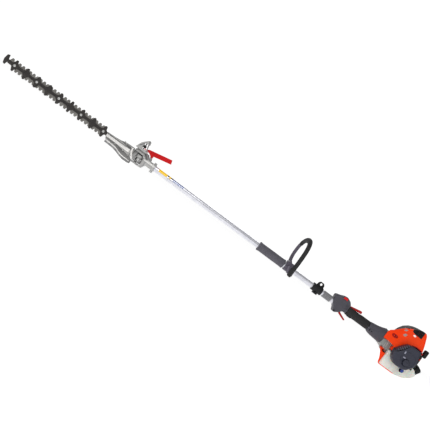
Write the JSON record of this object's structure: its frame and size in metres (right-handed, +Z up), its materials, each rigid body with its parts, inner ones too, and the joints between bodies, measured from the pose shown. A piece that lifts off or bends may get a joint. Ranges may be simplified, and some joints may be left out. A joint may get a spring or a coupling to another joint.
{
  "type": "pole hedge trimmer",
  "caption": "Petrol pole hedge trimmer: double-sided cutter bar on a tilting head, long shaft with loop handle, throttle handle and two-stroke engine.",
  "frame": {"origin": "under the middle of the machine's length and width, level with the flat underside of the fuel tank", "axes": "+X along the shaft from the cutter bar to the engine, +Z up, -Y the air filter side"},
  "size_m": [2.3418, 0.1986, 0.2674],
  "materials": {
    "paleAlloy": "satin anodised",
    "alloy": "cast, satin",
    "steel": "brushed",
    "bladeBlack": "black coated",
    "cutterSteel": "hardened",
    "red": "satin",
    "orange": "glossy",
    "black": "matte",
    "darkGrey": "fine grain",
    "coverGrey": "fine grain",
    "rubber": "matte",
    "sleeveGrey": "foam",
    "ribbedGrey": "matte",
    "castGrey": "satin",
    "tank": "translucent white",
    "blue": "glossy",
    "filter": "felt"
  },
  "bodies": {
    "machine": {"shaft_tube": "paleAlloy", "foam_sleeve": "sleeveGrey", "ribbed_sleeve": "ribbedGrey", "loop_frame": "darkGrey", "loop_grip": "rubber", "loop_screw": "steel", "harness_clamp": "black", "harness_screw": "steel", "handle_shell_left": "black", "handle_shell_right": "black", "handle_screw": "steel", "rear_grip": "rubber", "clutch_cone": "darkGrey", "clutch_housing": "castGrey", "crankcase": "alloy", "cylinder": "alloy", "spark_plug": "steel", "muffler": "steel", "muffler_guard": "black", "cylinder_cover": "orange", "cover_grille": "black", "front_guard": "orange", "fuel_tank": "tank", "carburettor": "alloy", "filter_base": "black", "filter_element": "filter", "filter_cover": "coverGrey", "starter_housing": "black", "yoke_clamp": "alloy", "pivot_bolt": "steel", "yoke_screw": "steel"},
    "head": {"gearcase": "alloy", "gearcase_cover": "alloy", "knuckle_ball": "alloy", "index_disc": "steel", "steering_arm": "alloy", "support_bar": "steel", "guard_bar": "bladeBlack"},
    "front_cutter": {"front_cutter": "cutterSteel"},
    "rear_cutter": {"rear_cutter": "cutterSteel"},
    "crank_gear": {"crank_gear": "steel"},
    "head_bevel_shaft": {"head_bevel_shaft": "steel"},
    "idler_bevel": {"idler_bevel": "steel"},
    "drive_line": {"drive_shaft": "steel", "clutch_drum": "steel"},
    "crank": {"crankshaft": "steel", "flywheel": "alloy", "clutch_shoes": "steel"},
    "piston": {"piston": "alloy"},
    "starter_pulley": {"starter_pulley": "black"},
    "starter_grip": {"starter_grip": "black"},
    "head_lever": {"head_lever": "red"},
    "lock_pin": {"lock_pin": "black"},
    "throttle_trigger": {"throttle_trigger": "red"},
    "lockout_lever": {"lockout_lever": "red"},
    "stop_switch": {"stop_switch": "red"},
    "choke_lever": {"choke_lever": "red"},
    "primer_bulb": {"primer_bulb": "blue"},
    "fuel_cap": {"fuel_cap": "rubber"},
    "filter_knob": {"filter_knob": "coverGrey"}
  },
  "joints": [
    {"name": "head_tilt", "type": "hinge", "parent": "machine", "child": "head", "pos_m": [-0.4229, 0.00725, 0.102], "axis": [0, 0, 1], "range_deg": [-45, 90]},
    {"name": "front_cutter_stroke", "type": "slide", "parent": "head", "child": "front_cutter", "axis": [1, 0, 0], "range_m": [-0.0095, 0.0095]},
    {"name": "rear_cutter_stroke", "type": "slide", "parent": "head", "child": "rear_cutter", "axis": [1, 0, 0], "range_m": [-0.0095, 0.0095]},
    {"name": "crank_gear_spin", "type": "hinge", "parent": "head", "child": "crank_gear", "pos_m": [-0.5029, 0.00725, 0.102], "axis": [0, 1, 0], "continuous": true},
    {"name": "head_bevel_spin", "type": "hinge", "parent": "head", "child": "head_bevel_shaft", "pos_m": [-0.4229, 0.00725, 0.102], "axis": [1, 0, 0], "continuous": true},
    {"name": "idler_spin", "type": "hinge", "parent": "machine", "child": "idler_bevel", "pos_m": [-0.4229, 0.00725, 0.102], "axis": [0, 0, 1], "continuous": true},
    {"name": "drive_spin", "type": "hinge", "parent": "machine", "child": "drive_line", "pos_m": [0.0051, 0.00725, 0.102], "axis": [1, 0, 0], "continuous": true},
    {"name": "crank_spin", "type": "hinge", "parent": "machine", "child": "crank", "pos_m": [1.0251, 0.00725, 0.102], "axis": [1, 0, 0], "continuous": true},
    {"name": "piston_stroke", "type": "slide", "parent": "machine", "child": "piston", "axis": [0, 0, 1], "range_m": [-0.01, 0.01]},
    {"name": "starter_pull", "type": "slide", "parent": "machine", "child": "starter_grip", "axis": [1, 0, 0], "range_m": [0, 0.05], "stiffness_N_per_m": 60, "springref_m": -0.05},
    {"name": "starter_pulley_spin", "type": "hinge", "parent": "machine", "child": "starter_pulley", "pos_m": [1.1051, 0.00725, 0.102], "axis": [1, 0, 0], "range_deg": [-5, 160]},
    {"name": "lever_squeeze", "type": "hinge", "parent": "machine", "child": "head_lever", "pos_m": [-0.3734, 0.00725, 0.125], "axis": [0, 1, 0], "range_deg": [0, 12], "stiffness_Nm_per_rad": 1.5, "springref_deg": -17.19},
    {"name": "lock_pin_lift", "type": "slide", "parent": "machine", "child": "lock_pin", "axis": [0, 0, 1], "range_m": [0, 0.01]},
    {"name": "throttle_squeeze", "type": "hinge", "parent": "machine", "child": "throttle_trigger", "pos_m": [0.7131, 0.00725, 0.0805], "axis": [0, -1, 0], "range_deg": [0, 15], "stiffness_Nm_per_rad": 0.4, "springref_deg": -17.19},
    {"name": "lockout_press", "type": "hinge", "parent": "machine", "child": "lockout_lever", "pos_m": [0.7446, 0.00725, 0.1245], "axis": [0, 1, 0], "range_deg": [0, 5], "stiffness_Nm_per_rad": 0.5, "springref_deg": -11.46},
    {"name": "stop_switch_slide", "type": "slide", "parent": "machine", "child": "stop_switch", "axis": [1, 0, 0], "range_m": [0, 0.005]},
    {"name": "choke_turn", "type": "hinge", "parent": "machine", "child": "choke_lever", "pos_m": [1.0891, 0.00725, 0.14], "axis": [0, -1, 0], "range_deg": [0, 50]},
    {"name": "primer_press", "type": "slide", "parent": "machine", "child": "primer_bulb", "axis": [0, 1, 0], "range_m": [0, 0.003], "stiffness_N_per_m": 400, "springref_m": -0.002},
    {"name": "fuel_cap_turn", "type": "hinge", "parent": "machine", "child": "fuel_cap", "pos_m": [1.1371, 0.00325, 0.0593], "axis": [0.5548, 0, 0.832], "continuous": true},
    {"name": "filter_knob_turn", "type": "hinge", "parent": "machine", "child": "filter_knob", "pos_m": [1.0451, 0.00725, 0.073], "axis": [0, -1, 0], "range_deg": [0, 180]}
  ],
  "couplings": [
    {"joint": "rear_cutter_stroke", "follows": "front_cutter_stroke", "ratio": -1},
    {"joint": "idler_spin", "follows": "drive_spin", "ratio": 1},
    {"joint": "head_bevel_spin", "follows": "drive_spin", "ratio": -1},
    {"joint": "crank_gear_spin", "follows": "drive_spin", "ratio": -0.25},
    {"joint": "starter_pulley_spin", "follows": "starter_pull", "rad_per_m": 52.6},
    {"joint": "lock_pin_lift", "follows": "lever_squeeze", "m_per_rad": 0.045}
  ]
}
